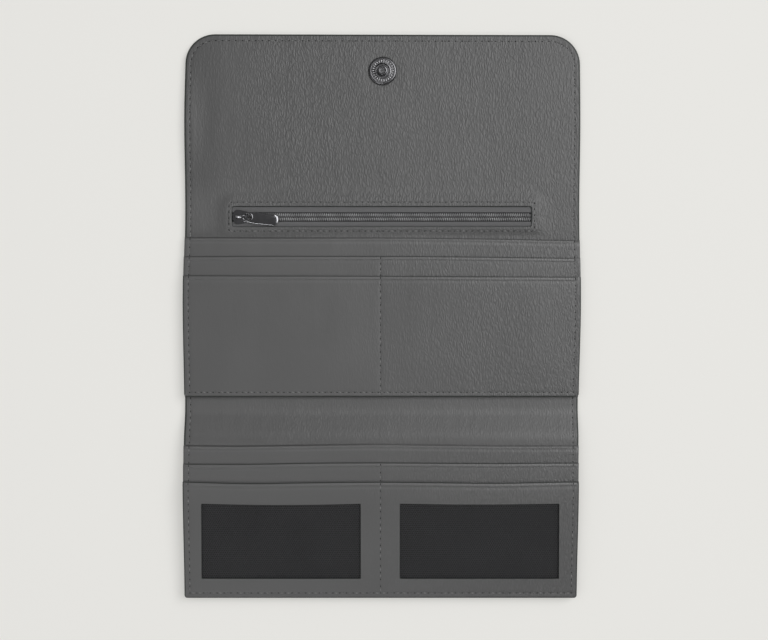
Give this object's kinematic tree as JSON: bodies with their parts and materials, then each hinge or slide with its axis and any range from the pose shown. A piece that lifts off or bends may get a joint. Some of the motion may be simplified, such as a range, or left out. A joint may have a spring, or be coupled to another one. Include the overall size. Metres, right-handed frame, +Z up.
{
  "type": "continental wallet",
  "caption": "Leather continental wallet lying open: snap flap, zipped coin pocket, stepped card slots, net card windows and folding panels.",
  "frame": {"origin": "centre of the open wallet's outline, on the surface that it lies on", "axes": "+X to the right with the inside up and the flap away, +Y towards the flap's free edge, +Z up out of the open wallet"},
  "size_m": [0.1954, 0.2786, 0.0101],
  "materials": {
    "shell_leather": "fine pebbled grain, semi-matt, cut edges painted dark",
    "lining_leather": "fine pebbled grain, semi-matt",
    "pocket_leather": "smoother fine grain with pressed crease lines at the mouths",
    "lining_cloth": "thin plain woven polyester",
    "leather_board": "bonded leather board",
    "window_net": "fine knitted net",
    "zip_coil": "woven tape with a nylon coil",
    "gunmetal": "polished dark nickel plating"
  },
  "bodies": {
    "middle_panel": {"shell_middle": "shell_leather", "stiffener_middle": "leather_board", "lining_middle": "lining_leather", "bill_pocket_middle": "pocket_leather", "card_strip_middle": "pocket_leather", "card_lining_middle_left": "lining_cloth", "card_lining_middle_right": "lining_cloth", "front_panel_middle": "pocket_leather"},
    "zip_strip": {"shell_zip_strip": "shell_leather", "lining_zip_strip": "lining_leather", "coin_bag_throat": "lining_cloth", "zip_tape_upper": "zip_coil", "zip_tape_lower": "zip_coil", "zip_stop_closed": "gunmetal", "zip_stop_open": "gunmetal"},
    "flap": {"shell_flap": "shell_leather", "lining_flap": "lining_leather", "coin_bag": "lining_cloth", "snap_male": "gunmetal", "snap_male_washer": "gunmetal"},
    "bare_strip": {"shell_bare_strip": "shell_leather", "lining_bare_strip": "lining_leather"},
    "card_panel": {"shell_card": "shell_leather", "lining_card": "lining_leather", "stiffener_card": "leather_board", "bill_pocket_card": "pocket_leather", "card_strip_card": "pocket_leather", "card_lining_card_left": "lining_cloth", "card_lining_card_right": "lining_cloth", "front_panel_card": "pocket_leather", "mesh_left": "window_net", "mesh_right": "window_net", "snap_female": "gunmetal", "snap_female_washer": "gunmetal"},
    "slider": {"zip_slider": "gunmetal"},
    "puller": {"zip_puller": "gunmetal"}
  },
  "joints": [
    {"name": "zip_strip_fold", "type": "hinge", "parent": "middle_panel", "child": "zip_strip", "pos_m": [0, 0.03894, 0.003], "axis": [1, 0, 0], "range_deg": [0, 90]},
    {"name": "flap_fold", "type": "hinge", "parent": "zip_strip", "child": "flap", "pos_m": [0, 0.05864, 0.003], "axis": [1, 0, 0], "range_deg": [0, 90]},
    {"name": "bare_strip_fold", "type": "hinge", "parent": "middle_panel", "child": "bare_strip", "pos_m": [0, -0.04746, 0.003], "axis": [-1, 0, 0], "range_deg": [0, 71.43]},
    {"name": "card_fold", "type": "hinge", "parent": "bare_strip", "child": "card_panel", "pos_m": [0, -0.0594, 0.00701], "axis": [-1, 0, 0], "range_deg": [0, 111.46]},
    {"name": "zip_slide", "type": "slide", "parent": "zip_strip", "child": "slider", "axis": [1, 0, 0], "range_m": [0, 0.1395]},
    {"name": "puller_hinge", "type": "hinge", "parent": "slider", "child": "puller", "pos_m": [-0.0682, 0.04879, 0.0052], "axis": [-0.1045, -0.9945, 0], "range_deg": [0, 176]}
  ],
  "couplings": [
    {"joint": "flap_fold", "follows": "zip_strip_fold", "ratio": 1},
    {"joint": "card_fold", "follows": "bare_strip_fold", "ratio": 1.5605}
  ]
}
